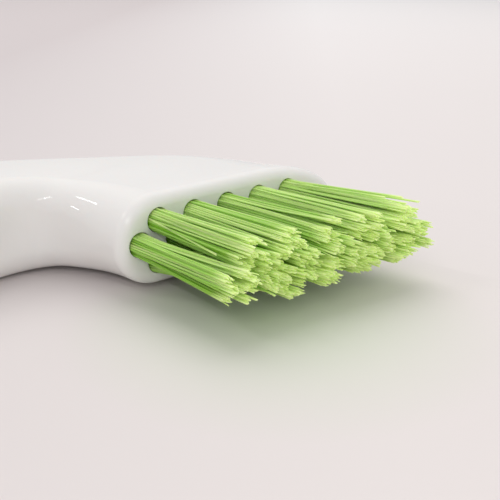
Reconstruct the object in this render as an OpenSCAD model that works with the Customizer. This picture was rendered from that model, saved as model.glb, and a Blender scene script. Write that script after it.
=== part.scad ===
// Hand brush: a one-piece curved body with sixteen tufts of filament,
// each folded over a metal anchor that is driven into a blind hole.
// The brush lies on its side: +X runs along the head towards its toe,
// -Y is the way the tufts point, and +Z is up.

/* [Head] */
// Distance between neighbouring holes in one row
pitch = 9; // [8.8:0.1:9.4]
// Distance between neighbouring rows
row_gap = 4.4; // [4.3:0.1:4.8]
// Width of the head from side to side
head_width = 19.5; // [19.5:0.5:21]
// Distance from the first hole's centre to the heel
heel_margin = 5; // [4.8:0.1:6]
// Distance from the last hole's centre to the toe
toe_margin = 11.5; // [10.5:0.5:13]
// Length of the tapered, rounded part of the toe
toe_taper = 22; // [18:1:24]
// Radius of the edge round the tufted face
rim_radius = 2.5; // [2:0.1:3]

/* [Handle] */
// Length of the whole brush from the toe to the handle's end
brush_length = 196; // [185:1:215]
// How far the grip sits behind the tufted face
grip_setback = 22; // [20:0.5:24]
// Width of the grip from side to side
grip_width = 22; // [21:0.5:24]
// Depth of the grip from front to back
grip_depth = 28; // [26:0.5:30]
// Depth of the handle near its end
tail_depth = 20; // [18:0.5:22]
// Width of the handle near its end
tail_width = 20; // [19:0.5:21]
// How far the handle's end sits behind the tufted face
tail_setback = 25; // [24:0.5:27]
// Radius of the handle's long edges
edge_radius = 6; // [5:0.25:7]
// Diameter of the hanging hole
hang_hole_d = 7; // [5:0.5:8]

/* [Tufts] */
// Diameter of a tuft hole
hole_d = 5.2; // [5:0.1:5.4]
// Depth of a tuft hole
hole_depth = 9; // [8:0.5:10]
// Clearance between a tuft and its hole
tuft_play = 0.05; // [0.03:0.01:0.1]
// Length of the first tuft outside its hole
heel_tuft_length = 28; // [26:1:30]
// Length of the last tuft outside its hole
toe_tuft_length = 32; // [30:1:34]
// Diameter of a tuft just outside its hole
mouth_d = 4.8; // [4.5:0.1:4.8]
// Diameter of a tuft at its cut end
tip_d = 5.4; // [5.2:0.1:5.6]
// Lean of the last tuft towards the toe, in degrees
toe_lean = 10; // [0:1:12]
// Lean of the first tuft towards the toe, in degrees
heel_lean = 1; // [0:1:4]
// Upward lean of the lower row, which lies nearest the table, in degrees
lower_lift = 3; // [0:0.5:4]

/* [Anchors] */
// Width of an anchor across its hole
anchor_w = 6; // [5.8:0.1:6.4]
// Height of an anchor along its hole
anchor_h = 2.2; // [1.8:0.1:2.6]
// Thickness of an anchor
anchor_t = 0.45; // [0.35:0.05:0.6]
// Height of an anchor above the floor of its hole, where the tuft folds
anchor_lift = 0.8; // [0.6:0.1:1.2]

/* [Hidden] */
$fn = 48;
head_half = head_width / 2;
grip_half = grip_width / 2;
tail_half = tail_width / 2;
// How far a cutter runs past the face that it cuts
overshoot = 1;
// How far the leaning part of a tuft reaches back into its straight root
root_overlap = 0.8;

// Hole centres, as [distance along the row, height]. The outer rows hold
// one hole fewer than the middle one and sit half a pitch further on.
middle_count = 6;
outer_count = middle_count - 1;
row_length = (middle_count - 1) * pitch;
upper_row = [for (i = [0:outer_count - 1]) [(i + 0.5) * pitch, row_gap]];
middle_row = [for (i = [0:middle_count - 1]) [i * pitch, 0]];
lower_row = [for (i = [0:outer_count - 1]) [(i + 0.5) * pitch, -row_gap]];
holes = concat(upper_row, middle_row, lower_row);
tuft_count = len(holes);

// Each tuft's length and lean grow from the heel to the toe
function along_row(i) = holes[i][0] / row_length;
function tuft_length(i) = heel_tuft_length + (toe_tuft_length - heel_tuft_length) * along_row(i);
function tuft_lean(i) = heel_lean + (toe_lean - heel_lean) * along_row(i);
function tuft_lift(i) = holes[i][1] < 0 ? lower_lift : 0;

// How far tuft i reaches in front of the tufted face
function tuft_reach(i) =
    let (upright = cos(tuft_lift(i)) * cos(tuft_lean(i)))
    tuft_length(i) * upright + tip_d / 2 * sqrt(1 - upright * upright);

// The body's two long edges, seen along Z, as chains of cubic curves. Each
// curve is two ends with two control points between them.
toe_x = row_length + toe_margin;
tail_x = toe_x - brush_length;
tail_end_x = tail_x + tail_depth / 2;
tail_back = tail_setback + tail_depth;
front_head = [[-heel_margin, rim_radius], [-heel_margin, 16], [-7, grip_setback + 5],
              [-26, grip_setback - 1]];
back_head = [[toe_x, rim_radius], [46, 22], [14, 41], [-22, grip_setback + grip_depth]];
front_grip = [front_head[3], [-55, grip_setback - 10], [-85, grip_setback + 6],
              [tail_end_x, tail_setback]];
back_grip = [back_head[3], [-58, grip_setback + grip_depth + 9], [-90, tail_back + 2],
             [tail_end_x, tail_back]];
head_steps = 26;
grip_steps = 20;
cap_steps = 6;
rim_steps = 4;
corner_steps = 10;

function cubic(p, t) = pow(1 - t, 3) * p[0] + 3 * t * pow(1 - t, 2) * p[1]
                     + 3 * t * t * (1 - t) * p[2] + pow(t, 3) * p[3];

// One ring of points: a rounded rectangle that stands on the line from
// front point f to back point b, with half height h and corner radius r.
// Its back corners are stretched to length taper.
function ring(f, b, h, r, taper) =
    let (span = b - f, long = norm(span), along = span / long)
    [for (corner = [0:3], i = [0:corner_steps])
        let (turn = corner * 90 + i * 90 / corner_steps,
             at_back = corner == 0 || corner == 3,
             u = at_back ? long - taper + taper * cos(turn) : r + r * cos(turn),
             rise = corner < 2 ? h - r : r - h,
             p = f + along * u)
        [p[0], p[1], rise + r * sin(turn)]];

function blend(a, b, t) = a + (b - a) * (3 * t * t - 2 * t * t * t);

// The rounded rim of the tufted face
rim_rings = [for (k = [0:rim_steps - 1])
    let (a = 90 * k / rim_steps, inset = rim_radius * (1 - sin(a)),
         y = rim_radius * (1 - cos(a)))
    ring([-heel_margin + inset, y], [toe_x - inset, y], head_half - inset,
         head_half - inset, toe_taper - inset)];

// The head and neck, from the rim round to the grip
head_rings = [for (k = [0:head_steps])
    let (t = k / head_steps, settle = min(1, 2 * t), widen = max(0, 2 * t - 1))
    ring(cubic(front_head, t), cubic(back_head, t), blend(head_half, grip_half, widen),
         blend(head_half, edge_radius, settle), blend(toe_taper, edge_radius, settle))];

// The grip, flat on both sides for the first half of its length
grip_rings = [for (k = [1:grip_steps])
    let (t = k / grip_steps, narrow = max(0, 2 * t - 1),
         r = blend(edge_radius, tail_half - 1, t))
    ring(cubic(front_grip, t), cubic(back_grip, t), blend(grip_half, tail_half, narrow), r, r)];

// The rounded end of the handle. The last ring stops half a step short of a
// quarter turn, so that it still encloses a small flat face.
tail_rings = [for (k = [1:cap_steps])
    let (a = 90 * k / (cap_steps + 0.5), inset = tail_half * (1 - cos(a)),
         r = (tail_half - 1) * cos(a), out = tail_depth / 2 * sin(a))
    ring([tail_end_x - out, tail_setback + inset], [tail_end_x - out, tail_back - inset],
         tail_half - inset, r, r)];

rings = concat(rim_rings, head_rings, grip_rings, tail_rings);
ring_size = len(rings[0]);

// Frame origin: the middle of the bottom of the box round the whole brush
all_x = [for (r = rings, p = r) p[0]];
all_y = [for (r = rings, p = r) p[1]];
front_y = -max([for (i = [0:tuft_count - 1]) tuft_reach(i)]);
origin = [(min(all_x) + max(all_x)) / 2, (front_y + max(all_y)) / 2, -grip_half];

tuft_names = [for (i = [1:tuft_count]) str("tuft_", i < 10 ? "0" : "", i)];
anchor_names = [for (i = [1:tuft_count]) str("staple_", i < 10 ? "0" : "", i)];

// Skin over a stack of rings, closed by a flat face at each end
module loft(stack) {
    n = len(stack[0]);
    last = (len(stack) - 1) * n;
    walls = [for (k = [0:len(stack) - 2], i = [0:n - 1])
        let (a = k * n + i, b = k * n + (i + 1) % n)
        [a, b, b + n, a + n]];
    front = [[for (i = [n - 1:-1:0]) i]];
    back = [[for (i = [0:n - 1]) last + i]];
    polyhedron([for (r = stack, p = r) p], concat(walls, front, back));
}

// Puts a piece at hole i, with the hole's mouth at the origin and the
// tuft pointing along +Z before it is turned to -Y
module at_hole(i) {
    translate([holes[i][0], 0, holes[i][1]] - origin)
        rotate([90, 0, 0])
            children();
}

// An anchor, held by the hole's wall just above the fold of its tuft
module anchor_block() {
    translate([-anchor_w / 2, -anchor_t / 2, anchor_lift - hole_depth])
        cube([anchor_w, anchor_t, anchor_h]);
}

module handle_body() {
    color("white")
    difference() {
        translate(-origin) loft(rings);
        for (i = [0:tuft_count - 1])
            at_hole(i) {
                translate([0, 0, -hole_depth]) cylinder(h = hole_depth + overshoot, d = hole_d);
                anchor_block();
            }
        translate([tail_end_x, tail_setback + tail_depth / 2, 0] - origin)
            cylinder(h = grip_width * 2, d = hang_hole_d, center = true);
    }
}

// A tuft is straight in its hole and leans from the hole's mouth outwards
module tuft(i) {
    color("yellowgreen")
    at_hole(i)
        difference() {
            union() {
                translate([0, 0, -hole_depth])
                    cylinder(h = hole_depth, d = hole_d - 2 * tuft_play);
                rotate([-tuft_lift(i), tuft_lean(i), 0])
                    translate([0, 0, -root_overlap])
                    cylinder(h = root_overlap + tuft_length(i), d1 = mouth_d, d2 = tip_d);
            }
            anchor_block();
        }
}

module staple(i) {
    color("silver") at_hole(i) anchor_block();
}

handle_body();
for (i = [0:tuft_count - 1]) {
    tuft(i);
    staple(i);
}
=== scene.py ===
"""Looks for a hand brush: a glossy white body, sixteen tufts of green filament and their anchors."""

import math

import bmesh
import bpy
import numpy as np
from mathutils import Matrix, Vector


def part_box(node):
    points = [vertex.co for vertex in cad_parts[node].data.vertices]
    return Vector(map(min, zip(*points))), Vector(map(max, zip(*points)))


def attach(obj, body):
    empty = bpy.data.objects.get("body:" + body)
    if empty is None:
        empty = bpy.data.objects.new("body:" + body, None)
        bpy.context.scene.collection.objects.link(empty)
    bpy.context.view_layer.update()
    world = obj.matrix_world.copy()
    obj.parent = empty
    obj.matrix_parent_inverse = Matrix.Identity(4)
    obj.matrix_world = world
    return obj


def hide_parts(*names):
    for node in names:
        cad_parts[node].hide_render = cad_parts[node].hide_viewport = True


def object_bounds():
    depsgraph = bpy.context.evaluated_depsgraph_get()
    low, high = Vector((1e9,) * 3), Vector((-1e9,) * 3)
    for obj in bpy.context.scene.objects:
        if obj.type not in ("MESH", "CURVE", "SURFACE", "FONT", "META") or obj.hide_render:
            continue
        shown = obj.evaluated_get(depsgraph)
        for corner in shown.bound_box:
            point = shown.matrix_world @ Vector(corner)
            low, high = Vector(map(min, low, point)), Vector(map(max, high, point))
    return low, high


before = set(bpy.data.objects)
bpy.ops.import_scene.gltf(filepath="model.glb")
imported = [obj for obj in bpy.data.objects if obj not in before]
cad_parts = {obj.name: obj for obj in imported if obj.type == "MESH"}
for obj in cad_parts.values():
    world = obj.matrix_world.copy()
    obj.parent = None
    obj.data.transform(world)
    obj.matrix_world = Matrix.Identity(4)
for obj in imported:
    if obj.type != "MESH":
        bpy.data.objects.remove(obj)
cad_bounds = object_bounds()

MM = 0.001
SEED = 524

# ---------------------------------------------------------------- the body's measures
# In millimetres from the first hole's mouth: x along the head to the toe,
# y back from the tufted face, z up.
HEEL_MARGIN = 5.0
RIM_RADIUS = 2.5
TOE_TAPER = 22.0
HEAD_HALF = 9.75
GRIP_HALF = 11.0
TAIL_HALF = 10.0
EDGE_RADIUS = 6.0
TAIL_DEPTH = 20.0
GRIP_SETBACK = 22.0
GRIP_DEPTH = 28.0
TAIL_SETBACK = 25.0
HOLE_RADIUS = 2.6
HOLE_DEPTH = 9.0
HOLE_CHAMFER = 0.18
ROW_LENGTH = 45.0
HANG_RADIUS = 3.5
HANG_ROUND = 0.9
# How far the holes' cutters run past the face that they cut
HOLE_OVERSHOOT = 1.0
HANG_OVERSHOOT = 2.0

# How many sections the body has in its rim, head, grip and rounded end
RIM_STEPS = 8
HEAD_STEPS = 84
GRIP_STEPS = 56
CAP_STEPS = 14
# How many steps a section's corner has, and how many sides the holes have
CORNER_STEPS = 16
HOLE_SIDES = 48
HANG_SIDES = 64

# Edges sharper than these angles, in degrees, stay sharp
BODY_SMOOTH = 35.0
TUFT_SMOOTH = 60.0

# ---------------------------------------------------------------- the tufts' measures
TUFTS = [f"tuft_{i:02d}" for i in range(1, 17)]
STAPLES = [f"staple_{i:02d}" for i in range(1, 17)]
FIRST_HOLE = "staple_06"
TIP_RADIUS = 2.7

# Filaments, in millimetres: their size, their packing and how deep their roots go
FILAMENT_RADIUS = 0.22
RADIUS_PLAY = (0.94, 1.06)
FILAMENT_SPACING = 0.45
PACKING_PLAY = 0.05
TUFT_ROOT_RADIUS = 2.35
ROOT_DEPTH = 6.0
# Where a filament's foot lies, as a share of the length outside the hole
FOOT_ALONG = -0.2

# Clumps: how many, how wide their ring is, and how strongly and how soon they gather
CLUMPS = 8
CLUMP_RING = 1.75
CLUMP_SCATTER = 0.22
CLUMP_PULL = 0.09
GATHER_RATE = 4
# Drift of the ends: the fan of a whole tuft, and in millimetres the play of a clump
# and of one filament
TIP_SPREAD = 1.42
CLUMP_DRIFT = 0.2
FILAMENT_DRIFT = 0.1
DRIFT_CURVE = 1.2
BOW = 0.1
# Lengths: the longest share, and how much a clump and a filament fall short of it
LONGEST = 1.04
CLUMP_SHORT = 0.11
FILAMENT_SHORT = 0.03
# Strays: how many, how far they drift and how much less they fall short
STRAY_SHARE = 0.05
STRAY_DRIFT = 0.8
STRAY_SHORT = 0.4
# The lower two rows droop at the heel: how far, as a share of a tuft's length
HEEL_DROOP = 0.014
# Tufts that are trimmed longer or shorter than the rest
TRIM = {"tuft_06": 1.07, "tuft_07": 1.05, "tuft_12": 0.95, "tuft_14": 1.02}
# Tufts whose ends fan out more than the rest
FAN = {"tuft_06": 1.7, "tuft_07": 1.6, "tuft_12": 1.7}
# Tufts that are bent out of line: how far their ends have moved, in x and z
BENT = {"tuft_06": (0.8, 0.2), "tuft_12": (4.0, 3.2)}
# Loose filaments: where each starts across the root, its drift and its share of the length
LOOSE = {
    "tuft_01": [((-2.1, 0.6), (-0.6, -1.7), 0.73)],
    "tuft_05": [
        ((-0.9, 1.9), (-0.9, 1.9), 0.84),
        ((0.3, 2.1), (-0.2, 1.9), 0.92),
        ((1.4, 1.6), (0.9, 1.5), 1.0),
    ],
    "tuft_11": [((1.5, -0.4), (1.2, -1.6), 0.98)],
}

# Tone of a filament, from 0 for deep green to 1 for pale: the range of the clumps, the
# scatter within a clump, the rise per millimetre of height in the tuft, and each tuft's
# own shift. The clumps and the scatter are random tone. The rise is painted light and
# shade: strands high in a tuft are paler, low ones deeper. The shifts are painted shade
# on the tufts behind the first of the middle row, and a little on that first tuft, and
# painted light on the tufts at the toe, which are paler.
CLUMP_TONES = (0.25, 0.95)
TONE_SCATTER = 0.2
TONE_RISE_PAINTED_LIGHT = 0.14
PAINTED_TONE_SHIFT = dict.fromkeys(TUFTS[6:11], -0.55)
PAINTED_TONE_SHIFT.update({"tuft_04": 0.2, "tuft_05": 0.3, "tuft_06": -0.1})

# Cut ends: how many are split in two prongs, from where, and the prongs' form
SPLIT_SHARE = 0.4
SPLIT_START = 0.86
SPLIT_OVERLAP = 0.03
PRONG_GAP = 0.09
PRONG_SPREAD = (0.05, 0.32)
PRONG_CURVE = 1.5
PRONG_LENGTHS = (-0.5, 0.25)
PRONG_RADII = np.array((0.62, 0.62, 0.58, 0.42))
CUT_SLANT = 1.3

# Where a filament and a prong have their rings, and how many sides a ring has
STATIONS = np.array([0.0, 0.1, 0.25, 0.42, 0.6, 0.76, 0.88, 0.95, 1.0])
PRONG_STATIONS = np.array([0.0, 0.35, 0.7, 1.0])
SIDES = 6
# The range of a random direction, in radians
ANY_TURN = 6.28

# ---------------------------------------------------------------- colours
BODY_WHITES = ((0.82, 0.80, 0.775), (0.85, 0.83, 0.805))
# The filaments' greens, from deep to pale; the tone that picks between them is partly random and partly
# painted light and shade.
FILAMENT_GREENS = ((0.20, 0.47, 0.02), (0.57, 0.80, 0.25))
# Painted light on the cut ends: a pale green that stands in for light carried along the filaments.
CUT_END_PAINTED_LIGHT = (0.80, 0.96, 0.44)
# Painted glow of the cut ends, given as emission though they are no lamp.
CUT_END_PAINTED_GLOW = (0.08, 0.088, 0.02)
BRASSES = ((0.66, 0.50, 0.24), (0.80, 0.64, 0.34))
TABLE_NEAR = ((0.745, 0.69, 0.675), (0.765, 0.71, 0.695))
TABLE_FAR = (0.785, 0.768, 0.768)
# Painted shade on the table's left side.
TABLE_PAINTED_SHADE_LEFT = (0.60, 0.545, 0.545)
# Painted green-tinted shadow on the table below the tufts.
TABLE_PAINTED_GREEN_SHADOW = (0.60, 0.68, 0.52)
BLACK = (0.0, 0.0, 0.0)
WHITE = (1.0, 1.0, 1.0)

# ---------------------------------------------------------------- light and camera
# Each light spans two directions from the neck, at a distance and with a width in
# metres. Only the narrow ones are mirrored in the glossy body.
LIGHTS = [
    {"name": "overhead", "first": (1.15, 0.5, 1.0), "last": (-0.1, 0.5, 1.0), "distance": 1.4,
     "width": 1.2, "radiance": 1.95, "colour": (1.0, 0.985, 0.96), "mirrored": False},
    {"name": "front_fill", "first": (0.5, -0.9, 0.35), "last": (-0.7, -0.8, 0.4), "distance": 1.2,
     "width": 0.6, "radiance": 0.62, "colour": WHITE, "mirrored": False},
    {"name": "streak_left", "first": (-0.39, -0.84, 0.37), "last": (-0.71, -0.30, 0.64),
     "distance": 1.6, "width": 0.045, "radiance": 20.0, "colour": WHITE, "mirrored": True},
    {"name": "streak_middle", "first": (-0.61, 0.28, 0.74), "last": (-0.57, 0.51, 0.64),
     "distance": 1.6, "width": 0.045, "radiance": 28.0, "colour": WHITE, "mirrored": True},
    {"name": "streak_low", "first": (-0.94, 0.17, 0.30), "last": (-0.90, 0.34, 0.27),
     "distance": 1.6, "width": 0.04, "radiance": 22.0, "colour": WHITE, "mirrored": True},
]
WORLD_COLOUR = (0.98, 0.98, 1.0, 1.0)
WORLD_STRENGTH = 0.61
TABLE_REACH = 15.0
LENS = 61.2
SENSOR_WIDTH = 36.0
CLIP_START = 0.01
# The camera's place from the first hole, in millimetres, and how it is turned
CAMERA_OFFSET = Vector((-91.0, -133.5, 57.1))
CAMERA_FORWARD = Vector((0.630, 0.698, -0.339))
CAMERA_UP = Vector((0.214, 0.263, 0.941))


def middle(box):
    """The middle of a box given by its lowest and highest corner."""
    return (box[0] + box[1]) / 2


body_low, body_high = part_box("handle_body")
first_hole = middle(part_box(FIRST_HOLE))
ORIGIN = Vector((first_hole.x, body_low.y, first_hole.z))
TOE_X = (body_high.x - ORIGIN.x) / MM
TAIL_X = (body_low.x - ORIGIN.x) / MM
TAIL_END_X = TAIL_X + TAIL_DEPTH / 2
NECK = ORIGIN + Vector((-30.0, 28.0, 8.0)) * MM
# Where the painted green shadow on the table centres, below the tufts.
UNDER_TUFTS = ORIGIN + Vector((13.0, -28.0, -11.0)) * MM


def from_design(points):
    """Points in the body's own millimetres, as metres in the row frame."""
    return np.asarray(points, float) * MM + np.array(ORIGIN)


# ---------------------------------------------------------------- meshes
def make_object(name, vertices, faces, material, smooth_below=40.0):
    """A mesh object with smooth shading, except over edges sharper than smooth_below degrees."""
    mesh = bpy.data.meshes.new(name)
    mesh.from_pydata([tuple(v) for v in vertices], [], faces)
    mesh.validate()
    piece = bpy.data.objects.new(name, mesh)
    bpy.context.scene.collection.objects.link(piece)
    mesh.materials.append(material)
    shade(mesh, smooth_below)
    return piece


def shade(mesh, smooth_below):
    """Outward normals, and smooth shading up to the given angle."""
    bm = bmesh.new()
    bm.from_mesh(mesh)
    bmesh.ops.recalc_face_normals(bm, faces=bm.faces)
    limit = math.radians(smooth_below)
    for face in bm.faces:
        face.smooth = True
    for edge in bm.edges:
        edge.smooth = len(edge.link_faces) == 2 and edge.calc_face_angle(0.0) < limit
    bm.to_mesh(mesh)
    bm.free()


def loft(rings):
    """Vertices and faces of a skin over a stack of rings, closed at both ends."""
    count = len(rings[0])
    faces = []
    for k in range(len(rings) - 1):
        for i in range(count):
            a = k * count + i
            b = k * count + (i + 1) % count
            faces.append((a, b, b + count, a + count))
    last = (len(rings) - 1) * count
    faces.append(tuple(range(count - 1, -1, -1)))
    faces.append(tuple(range(last, last + count)))
    return np.concatenate(rings), faces


def lathe(profile, sides):
    """Vertices and faces of a turned shape from (radius, height) pairs, none on the axis."""
    turns = np.linspace(0, 2 * math.pi, sides, endpoint=False)
    rings = [np.stack([r * np.cos(turns), r * np.sin(turns), np.full(sides, h)], 1)
             for r, h in profile]
    return loft(rings)


# ---------------------------------------------------------------- body shape
def cubic(points, t):
    """A point on a cubic curve with two ends and two control points between them."""
    p = np.asarray(points, float)
    return (1 - t) ** 3 * p[0] + 3 * t * (1 - t) ** 2 * p[1] + 3 * t * t * (1 - t) * p[2] + t ** 3 * p[3]


def blend(a, b, t):
    """From a to b in an S-curve."""
    return a + (b - a) * (3 * t * t - 2 * t ** 3)


def ring(front, back, half, radius, taper):
    """A rounded rectangle on the line from front to back; its back corners stretch to taper."""
    front = np.asarray(front, float)
    back = np.asarray(back, float)
    reach = np.linalg.norm(back - front)
    along = (back - front) / reach
    points = []
    for corner in range(4):
        at_back = corner in (0, 3)
        rise = half - radius if corner < 2 else radius - half
        for i in range(CORNER_STEPS + 1):
            turn = math.radians(corner * 90 + i * 90 / CORNER_STEPS)
            if at_back:
                u = reach - taper + taper * math.cos(turn)
            else:
                u = radius + radius * math.cos(turn)
            x, y = front + along * u
            points.append((x, y, rise + radius * math.sin(turn)))
    return np.array(points)


def body_rings():
    """The sections of the body, from the tufted face round the neck to the handle's end."""
    tail_back = TAIL_SETBACK + TAIL_DEPTH
    front_head = [(-HEEL_MARGIN, RIM_RADIUS), (-HEEL_MARGIN, 16), (-7, GRIP_SETBACK + 5),
                  (-26, GRIP_SETBACK - 1)]
    back_head = [(TOE_X, RIM_RADIUS), (46, 22), (14, 41), (-22, GRIP_SETBACK + GRIP_DEPTH)]
    front_grip = [front_head[3], (-55, GRIP_SETBACK - 10), (-85, GRIP_SETBACK + 6),
                  (TAIL_END_X, TAIL_SETBACK)]
    back_grip = [back_head[3], (-58, GRIP_SETBACK + GRIP_DEPTH + 9), (-90, tail_back + 2),
                 (TAIL_END_X, tail_back)]
    rings = []
    for k in range(RIM_STEPS):
        a = math.radians(90 * k / RIM_STEPS)
        inset = RIM_RADIUS * (1 - math.sin(a))
        y = RIM_RADIUS * (1 - math.cos(a))
        rings.append(ring((-HEEL_MARGIN + inset, y), (TOE_X - inset, y), HEAD_HALF - inset,
                          HEAD_HALF - inset, TOE_TAPER - inset))
    for k in range(HEAD_STEPS + 1):
        t = k / HEAD_STEPS
        settle = min(1, 2 * t)
        widen = max(0, 2 * t - 1)
        rings.append(ring(cubic(front_head, t), cubic(back_head, t),
                          blend(HEAD_HALF, GRIP_HALF, widen), blend(HEAD_HALF, EDGE_RADIUS, settle),
                          blend(TOE_TAPER, EDGE_RADIUS, settle)))
    for k in range(1, GRIP_STEPS + 1):
        t = k / GRIP_STEPS
        narrow = max(0, 2 * t - 1)
        radius = blend(EDGE_RADIUS, TAIL_HALF - 1, t)
        rings.append(ring(cubic(front_grip, t), cubic(back_grip, t),
                          blend(GRIP_HALF, TAIL_HALF, narrow), radius, radius))
    for k in range(1, CAP_STEPS + 1):
        # The last ring stops short of a quarter turn, so that it still encloses a flat face
        a = math.radians(90 * k / (CAP_STEPS + 0.5))
        inset = TAIL_HALF * (1 - math.cos(a))
        radius = (TAIL_HALF - 1) * math.cos(a)
        x = TAIL_END_X - TAIL_DEPTH / 2 * math.sin(a)
        rings.append(ring((x, TAIL_SETBACK + inset), (x, tail_back - inset), TAIL_HALF - inset,
                          radius, radius))
    return rings


def quarter_flare(radius, flare, height, steps=5):
    """The last stretch of a hole's cutter: it opens by flare in a round curve up to height."""
    curve = []
    for k in range(steps + 1):
        a = math.radians(90 * k / steps)
        curve.append((radius + flare * (1 - math.cos(a)), height - flare * (1 - math.sin(a))))
    return curve


def cut_holes(piece, material):
    """Cuts the tuft holes and the hanging hole out of the body."""
    profile = [(HOLE_RADIUS, -HOLE_DEPTH)] + quarter_flare(HOLE_RADIUS, HOLE_CHAMFER, 0)
    profile.append((HOLE_RADIUS + HOLE_CHAMFER, HOLE_OVERSHOOT))
    tool_vertices = []
    tool_faces = []

    def add_tool(vertices, faces):
        start = sum(len(v) for v in tool_vertices)
        tool_vertices.append(vertices)
        tool_faces.extend(tuple(start + i for i in face) for face in faces)

    for staple in STAPLES:
        vertices, faces = lathe(profile, HOLE_SIDES)
        place = middle(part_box(staple)) - ORIGIN
        turned = np.stack([vertices[:, 0], -vertices[:, 2], vertices[:, 1]], 1)
        add_tool(from_design(turned + np.array((place.x / MM, 0, place.z / MM))), faces)
    top = quarter_flare(HANG_RADIUS, HANG_ROUND, TAIL_HALF)
    above = [(HANG_RADIUS + HANG_ROUND, TAIL_HALF + HANG_OVERSHOOT)]
    mirrored = [(r, -h) for r, h in reversed(top + above)]
    vertices, faces = lathe(mirrored + top + above, HANG_SIDES)
    centre = np.array((TAIL_END_X, TAIL_SETBACK + TAIL_DEPTH / 2, 0))
    add_tool(from_design(vertices + centre), faces)

    tool = make_object("hole_tool", np.concatenate(tool_vertices), tool_faces, material)
    cut = piece.modifiers.new("holes", "BOOLEAN")
    cut.operation = "DIFFERENCE"
    cut.solver = "EXACT"
    cut.object = tool
    bpy.context.view_layer.update()
    graph = bpy.context.evaluated_depsgraph_get()
    result = bpy.data.meshes.new_from_object(piece.evaluated_get(graph))
    piece.modifiers.clear()
    piece.data = result
    bpy.data.objects.remove(tool)
    shade(result, BODY_SMOOTH)


def make_body(material):
    """The body's moulding, which replaces the CAD body."""
    vertices, faces = loft(body_rings())
    piece = make_object("body_moulding", from_design(vertices), faces, material)
    cut_holes(piece, material)
    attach(piece, "root")
    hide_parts("handle_body")


# ---------------------------------------------------------------- tufts
def packed_points(rng):
    """Filament places across a tuft's root: close rows with a little play, in millimetres."""
    points = []
    reach = int(TUFT_ROOT_RADIUS / FILAMENT_SPACING) + 2
    turn = rng.uniform(0, math.pi / 3)
    for row in range(-reach, reach + 1):
        for column in range(-reach, reach + 1):
            x = (column + 0.5 * (row % 2)) * FILAMENT_SPACING
            z = row * FILAMENT_SPACING * math.sqrt(3) / 2
            x += rng.uniform(-PACKING_PLAY, PACKING_PLAY)
            z += rng.uniform(-PACKING_PLAY, PACKING_PLAY)
            if math.hypot(x, z) < TUFT_ROOT_RADIUS:
                points.append((x * math.cos(turn) - z * math.sin(turn),
                               x * math.sin(turn) + z * math.cos(turn)))
    return np.array(points)


def add_tube(store, path, radii, along, tone, slant):
    """Adds one closed tube along path to store; slant turns the tilt of its cut end."""
    tangent = np.gradient(path, axis=0)
    tangent /= np.linalg.norm(tangent, axis=1)[:, None]
    side = np.cross(tangent, (0.0, 0.0, 1.0))
    side /= np.linalg.norm(side, axis=1)[:, None]
    rise = np.cross(side, tangent)
    turns = np.linspace(0, 2 * math.pi, SIDES, endpoint=False)
    spin = (np.cos(turns)[None, :, None] * side[:, None]
            + np.sin(turns)[None, :, None] * rise[:, None])
    vertices = path[:, None] + radii[:, None, None] * spin
    vertices[-1] += np.outer(np.cos(turns - slant) * radii[-1] * CUT_SLANT, tangent[-1])
    start = store["count"]
    rings = len(path)
    for k in range(rings - 1):
        for i in range(SIDES):
            a = start + k * SIDES + i
            b = start + k * SIDES + (i + 1) % SIDES
            store["faces"].append((a, b, b + SIDES, a + SIDES))
    last = start + (rings - 1) * SIDES
    store["faces"].append(tuple(range(start + SIDES - 1, start - 1, -1)))
    store["faces"].append(tuple(range(last, last + SIDES)))
    store["vertices"].append(vertices.reshape(-1, 3))
    store["along"].append(np.repeat(along, SIDES))
    store["tone"].append(np.full(rings * SIDES, tone))
    store["count"] += rings * SIDES


def add_filament(store, path, along, tone, rng):
    """One filament: a tube, whose cut end is whole or split into two thinner prongs."""
    radius = FILAMENT_RADIUS * rng.uniform(*RADIUS_PLAY)
    if rng.random() > SPLIT_SHARE:
        radii = np.full(len(path), radius)
        add_tube(store, path * MM, radii * MM, along, tone, rng.uniform(0, ANY_TURN))
        return
    keep = along <= SPLIT_START + SPLIT_OVERLAP
    add_tube(store, path[keep] * MM, np.full(keep.sum(), radius) * MM, along[keep], tone, 0.0)
    reach = SPLIT_START + (1 - SPLIT_START) * PRONG_STATIONS
    spine = np.stack([np.interp(reach, along, path[:, k]) for k in range(3)], 1)
    turn = rng.uniform(0, math.pi)
    apart = np.array((math.cos(turn), 0.0, math.sin(turn)))
    for sign in (-1, 1):
        spread = sign * (PRONG_GAP + rng.uniform(*PRONG_SPREAD) * PRONG_STATIONS ** PRONG_CURVE)
        prong = spine + apart * spread[:, None]
        prong[-1] += (spine[-1] - spine[-2]) * rng.uniform(*PRONG_LENGTHS)
        radii = radius * PRONG_RADII
        add_tube(store, prong * MM, radii * MM, reach, tone, rng.uniform(0, ANY_TURN))


def clump_centres(rng):
    """Where the clumps of a tuft gather: one near its axis and the others round it."""
    turns = rng.uniform(0, ANY_TURN) + np.arange(CLUMPS - 1) * 2 * math.pi / (CLUMPS - 1)
    around = CLUMP_RING * np.stack([np.cos(turns), np.sin(turns)], 1)
    return np.concatenate([[[0.0, 0.0]], around]) + rng.normal(0, CLUMP_SCATTER, (CLUMPS, 2))


def filament_path(mouth, reach, across, droop):
    """A filament's points and how far along it each lies: up its hole, then out along reach."""
    path = mouth + reach * STATIONS[:, None]
    sag = across[:, 1] + droop * STATIONS
    path = path + np.stack([across[:, 0], np.zeros(len(across)), sag], 1)
    foot = mouth + np.array((across[0, 0], ROOT_DEPTH, across[0, 1]))
    return np.concatenate([[foot], path]), np.concatenate([[FOOT_ALONG], STATIONS])


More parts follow.
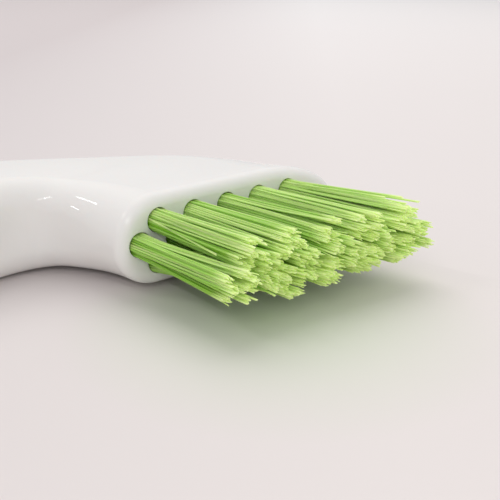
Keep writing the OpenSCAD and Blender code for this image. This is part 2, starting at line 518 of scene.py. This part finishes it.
def make_tuft(name, staple, material, rng):
    """One tuft: packed filaments that fan out, gather in clumps and end unevenly."""
    low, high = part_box(name)
    hole = middle(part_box(staple))
    mouth = np.array((hole.x, body_low.y, hole.z)) / MM
    tip = np.array((high.x - TIP_RADIUS * MM, low.y, high.z - TIP_RADIUS * MM)) / MM
    length = np.linalg.norm(tip - mouth)
    lean = (tip - mouth) / length
    length *= TRIM.get(name, 1.0)
    droop = 0.0
    if hole.z < ORIGIN.z + MM:
        droop = -HEEL_DROOP * length * (1 - (hole.x - ORIGIN.x) / (ROW_LENGTH * MM))
    centres = clump_centres(rng)
    spread = FAN.get(name, TIP_SPREAD)
    clump_drift = centres * (spread - 1) + rng.normal(0, CLUMP_DRIFT, (CLUMPS, 2))
    clump_short = rng.uniform(0.0, CLUMP_SHORT, CLUMPS)
    clump_tone = rng.uniform(*CLUMP_TONES, CLUMPS)
    store = {"vertices": [], "faces": [], "along": [], "tone": [], "count": 0}
    drift_share = STATIONS ** DRIFT_CURVE
    bow_share = np.sin(math.pi * STATIONS)
    gather_share = np.minimum(1, GATHER_RATE * STATIONS)
    for root in packed_points(rng):
        clump = np.argmin(np.linalg.norm(centres - root, axis=1))
        drift = clump_drift[clump] + rng.normal(0, FILAMENT_DRIFT, 2) + BENT.get(name, 0.0)
        short = clump_short[clump] + abs(rng.normal(0, FILAMENT_SHORT))
        if rng.random() < STRAY_SHARE:
            drift += rng.normal(0, STRAY_DRIFT, 2)
            short *= STRAY_SHORT
        bow = rng.normal(0, BOW, 2)
        across = root[None] + drift[None] * drift_share[:, None] + bow[None] * bow_share[:, None]
        across += CLUMP_PULL * (centres[clump] - root)[None] * gather_share[:, None]
        # A clump's random tone and scatter, plus painted light and shade by the root's height: higher
        # strands paler, lower ones deeper.
        tone = clump_tone[clump] + rng.normal(0, TONE_SCATTER) + TONE_RISE_PAINTED_LIGHT * root[1]
        # Each tuft's own shift: painted shade makes it deeper, painted light makes it paler.
        tone = np.clip(tone + PAINTED_TONE_SHIFT.get(name, 0.0), 0, 1)
        path, along = filament_path(mouth, lean * length * (LONGEST - short), across, droop)
        add_filament(store, path, along, tone, rng)
    for root, drift, share in LOOSE.get(name, ()):
        across = np.array(root)[None] + np.array(drift)[None] * STATIONS[:, None]
        path, along = filament_path(mouth, lean * length * share, across, droop * share)
        add_filament(store, path, along, 1.0, rng)
    vertices = np.concatenate(store["vertices"])
    piece = make_object(name + "_filaments", vertices, store["faces"], material, TUFT_SMOOTH)
    for key in ("along", "tone"):
        values = np.concatenate(store[key]).astype(np.float32)
        attribute = piece.data.attributes.new(key, "FLOAT", "POINT")
        attribute.data.foreach_set("value", values)
    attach(piece, "root")
    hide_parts(name)


# ---------------------------------------------------------------- materials
def new_material(name):
    """A material, its principled shader, and helpers that add and link nodes."""
    material = bpy.data.materials.new(name)
    material.use_nodes = True
    tree = material.node_tree
    shader = tree.nodes["Principled BSDF"]

    def node(kind, **settings):
        made = tree.nodes.new(kind)
        for key, value in settings.items():
            setattr(made, key, value)
        return made

    return material, shader, node, tree.links.new


def object_place(node, link):
    """Object coordinates, whole and split into X, Y and Z."""
    place = node("ShaderNodeTexCoord").outputs["Object"]
    split = node("ShaderNodeSeparateXYZ")
    link(place, split.inputs["Vector"])
    return place, split.outputs


def noise(node, link, scale, detail, roughness=0.5):
    """Noise in object coordinates, so it stays put on the piece."""
    place = node("ShaderNodeTexCoord")
    texture = node("ShaderNodeTexNoise")
    texture.inputs["Scale"].default_value = scale
    texture.inputs["Detail"].default_value = detail
    texture.inputs["Roughness"].default_value = roughness
    link(place.outputs["Object"], texture.inputs["Vector"])
    return texture.outputs["Fac"]


def map_range(node, link, value, source, target):
    """A value carried from the source range to the target range, and held at its ends."""
    mapped = node("ShaderNodeMapRange")
    mapped.inputs["From Min"].default_value = source[0]
    mapped.inputs["From Max"].default_value = source[1]
    mapped.inputs["To Min"].default_value = target[0]
    mapped.inputs["To Max"].default_value = target[1]
    link(value, mapped.inputs["Value"])
    return mapped.outputs["Result"]


def mix_colour(node, link, factor, first, second):
    """Mix of two colours; each is a colour or another node's output."""
    mixed = node("ShaderNodeMix", data_type="RGBA")
    link(factor, mixed.inputs["Factor"])
    for socket, colour in ((mixed.inputs["A"], first), (mixed.inputs["B"], second)):
        if isinstance(colour, tuple):
            socket.default_value = (*colour, 1.0)
        else:
            link(colour, socket)
    return mixed.outputs["Result"]


def body_plastic():
    """Glossy white moulding plastic with a faint ripple; the tufted face is more satin."""
    material, shader, node, link = new_material("white_moulding_plastic")
    tint = noise(node, link, scale=60.0, detail=3.0)
    link(mix_colour(node, link, tint, *BODY_WHITES), shader.inputs["Base Color"])
    axes = object_place(node, link)[1]
    behind_face = (ORIGIN.y + 4 * MM, ORIGIN.y + 9 * MM)
    satin = map_range(node, link, axes["Y"], behind_face, (0.17, 0.0))
    patches = noise(node, link, scale=420.0, detail=3.0)
    rough = node("ShaderNodeMath", operation="ADD")
    link(map_range(node, link, patches, (0.3, 0.7), (0.05, 0.09)), rough.inputs[0])
    link(satin, rough.inputs[1])
    link(rough.outputs["Value"], shader.inputs["Roughness"])
    shader.inputs["IOR"].default_value = 1.49
    shader.inputs["Subsurface Weight"].default_value = 0.12
    shader.inputs["Subsurface Radius"].default_value = (0.004, 0.003, 0.0025)
    shader.inputs["Subsurface Scale"].default_value = 1.0
    bump = node("ShaderNodeBump")
    bump.inputs["Strength"].default_value = 0.03
    bump.inputs["Distance"].default_value = 0.0004
    link(noise(node, link, scale=260.0, detail=2.0), bump.inputs["Height"])
    link(bump.outputs["Normal"], shader.inputs["Normal"])
    return material


def filament_plastic():
    """Green monofilament: each strand has its own tone, partly random and partly painted light and
    shade; its cut end is made pale by painted light and has a faint painted glow.
    """
    material, shader, node, link = new_material("green_monofilament")
    tone = node("ShaderNodeAttribute", attribute_name="tone")
    along = node("ShaderNodeAttribute", attribute_name="along")
    # The strand's tone, partly random and partly painted light and shade, picks its green.
    green = mix_colour(node, link, tone.outputs["Fac"], *FILAMENT_GREENS)
    # Painted light: the cut ends are mixed toward a pale green.
    pale = map_range(node, link, along.outputs["Fac"], (0.86, 1.0), (0.0, 0.85))
    link(mix_colour(node, link, pale, green, CUT_END_PAINTED_LIGHT), shader.inputs["Base Color"])
    # Painted glow: emission at the cut ends, which are no lamp.
    glow = map_range(node, link, along.outputs["Fac"], (0.78, 1.0), (0.0, 1.0))
    link(mix_colour(node, link, glow, BLACK, CUT_END_PAINTED_GLOW), shader.inputs["Emission Color"])
    shader.inputs["Emission Strength"].default_value = 1.0
    patches = noise(node, link, scale=900.0, detail=2.0)
    link(map_range(node, link, patches, (0.3, 0.7), (0.38, 0.55)), shader.inputs["Roughness"])
    shader.inputs["IOR"].default_value = 1.5
    shader.inputs["Specular IOR Level"].default_value = 0.2
    shader.inputs["Subsurface Weight"].default_value = 0.3
    shader.inputs["Subsurface Radius"].default_value = (0.0004, 0.0006, 0.0002)
    shader.inputs["Subsurface Scale"].default_value = 1.0
    return material


def anchor_metal():
    """Brass strip with fine changes of colour and gloss."""
    material, shader, node, link = new_material("anchor_strip")
    grain = noise(node, link, scale=1800.0, detail=4.0)
    link(mix_colour(node, link, grain, *BRASSES), shader.inputs["Base Color"])
    link(map_range(node, link, grain, (0.3, 0.7), (0.22, 0.4)), shader.inputs["Roughness"])
    shader.inputs["Metallic"].default_value = 1.0
    return material


def table_surface():
    """A pale table: painted shade makes it a little darker to the left, and a painted green-tinted
    shadow lies below the tufts.
    """
    material, shader, node, link = new_material("pale_table")
    near = mix_colour(node, link, noise(node, link, scale=3.0, detail=2.0), *TABLE_NEAR)
    place, axes = object_place(node, link)
    depth = map_range(node, link, axes["Y"], (-0.1, 0.7), (0.0, 1.0))
    plain = mix_colour(node, link, depth, near, TABLE_FAR)
    # Painted shade: the table darkens toward the left.
    across = node("ShaderNodeMath", operation="SUBTRACT")
    link(axes["X"], across.inputs[0])
    link(axes["Y"], across.inputs[1])
    left = map_range(node, link, across.outputs["Value"], (-0.16, 0.12), (1.0, 0.0))
    plain = mix_colour(node, link, left, plain, TABLE_PAINTED_SHADE_LEFT)
    # Painted shadow: the table turns a darker green round a point below the tufts.
    apart = node("ShaderNodeVectorMath", operation="DISTANCE")
    link(place, apart.inputs[0])
    apart.inputs[1].default_value = UNDER_TUFTS
    painted_green_shadow = map_range(node, link, apart.outputs["Value"], (0.004, 0.042), (0.62, 0.0))
    link(mix_colour(node, link, painted_green_shadow, plain, TABLE_PAINTED_GREEN_SHADOW), shader.inputs["Base Color"])
    shader.inputs["Roughness"].default_value = 0.6
    shader.inputs["Specular IOR Level"].default_value = 0.2
    return material


# ---------------------------------------------------------------- stage
def add_light(name, first, last, distance, width, radiance, colour, mirrored):
    """A rectangular light that spans two directions from the neck and faces it."""
    ends = [NECK + Vector(way).normalized() * distance for way in (first, last)]
    centre = (ends[0] + ends[1]) / 2
    x_axis = (ends[1] - ends[0]).normalized()
    z_axis = (centre - NECK).normalized()
    z_axis = (z_axis - x_axis * z_axis.dot(x_axis)).normalized()
    light = bpy.data.lights.new(name, "AREA")
    light.shape = "RECTANGLE"
    light.size = (ends[1] - ends[0]).length
    light.size_y = width
    light.energy = radiance * math.pi * light.size * light.size_y
    light.color = colour
    lamp = bpy.data.objects.new(name, light)
    lamp.visible_glossy = mirrored
    bpy.context.scene.collection.objects.link(lamp)
    turn = Matrix((x_axis, z_axis.cross(x_axis), z_axis)).transposed().to_4x4()
    lamp.matrix_world = Matrix.Translation(centre) @ turn


def make_stage():
    """The table, the even light of the world and the lights."""
    level = cad_bounds[0][2]
    corners = [(-TABLE_REACH, -TABLE_REACH, level), (TABLE_REACH, -TABLE_REACH, level),
               (TABLE_REACH, TABLE_REACH, level), (-TABLE_REACH, TABLE_REACH, level)]
    table = make_object("table", corners, [(0, 1, 2, 3)], table_surface())

    world = bpy.data.worlds.new("soft_light")
    bpy.context.scene.world = world
    world.use_nodes = True
    background = world.node_tree.nodes["Background"]
    background.inputs["Color"].default_value = WORLD_COLOUR
    background.inputs["Strength"].default_value = WORLD_STRENGTH
    for light in LIGHTS:
        add_light(**light)


def make_camera():
    """The camera that looks at the tufts from the front left, a little from above."""
    data = bpy.data.cameras.new("camera")
    data.sensor_width = SENSOR_WIDTH
    data.lens = LENS
    data.clip_start = CLIP_START
    camera = bpy.data.objects.new("camera", data)
    bpy.context.scene.collection.objects.link(camera)
    forward = CAMERA_FORWARD.normalized()
    right = forward.cross(CAMERA_UP).normalized()
    up = right.cross(forward)
    turn = Matrix((right, up, -forward)).transposed().to_4x4()
    camera.matrix_world = Matrix.Translation(ORIGIN + CAMERA_OFFSET * MM) @ turn
    bpy.context.scene.camera = camera


# ---------------------------------------------------------------- build
bpy.context.scene.view_settings.view_transform = "Standard"
make_camera()
make_body(body_plastic())
filament = filament_plastic()
random_source = np.random.default_rng(SEED)
for tuft_name, staple_name in zip(TUFTS, STAPLES):
    make_tuft(tuft_name, staple_name, filament, random_source)
metal = anchor_metal()
for staple_name in STAPLES:
    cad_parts[staple_name].data.materials.clear()
    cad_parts[staple_name].data.materials.append(metal)
make_stage()
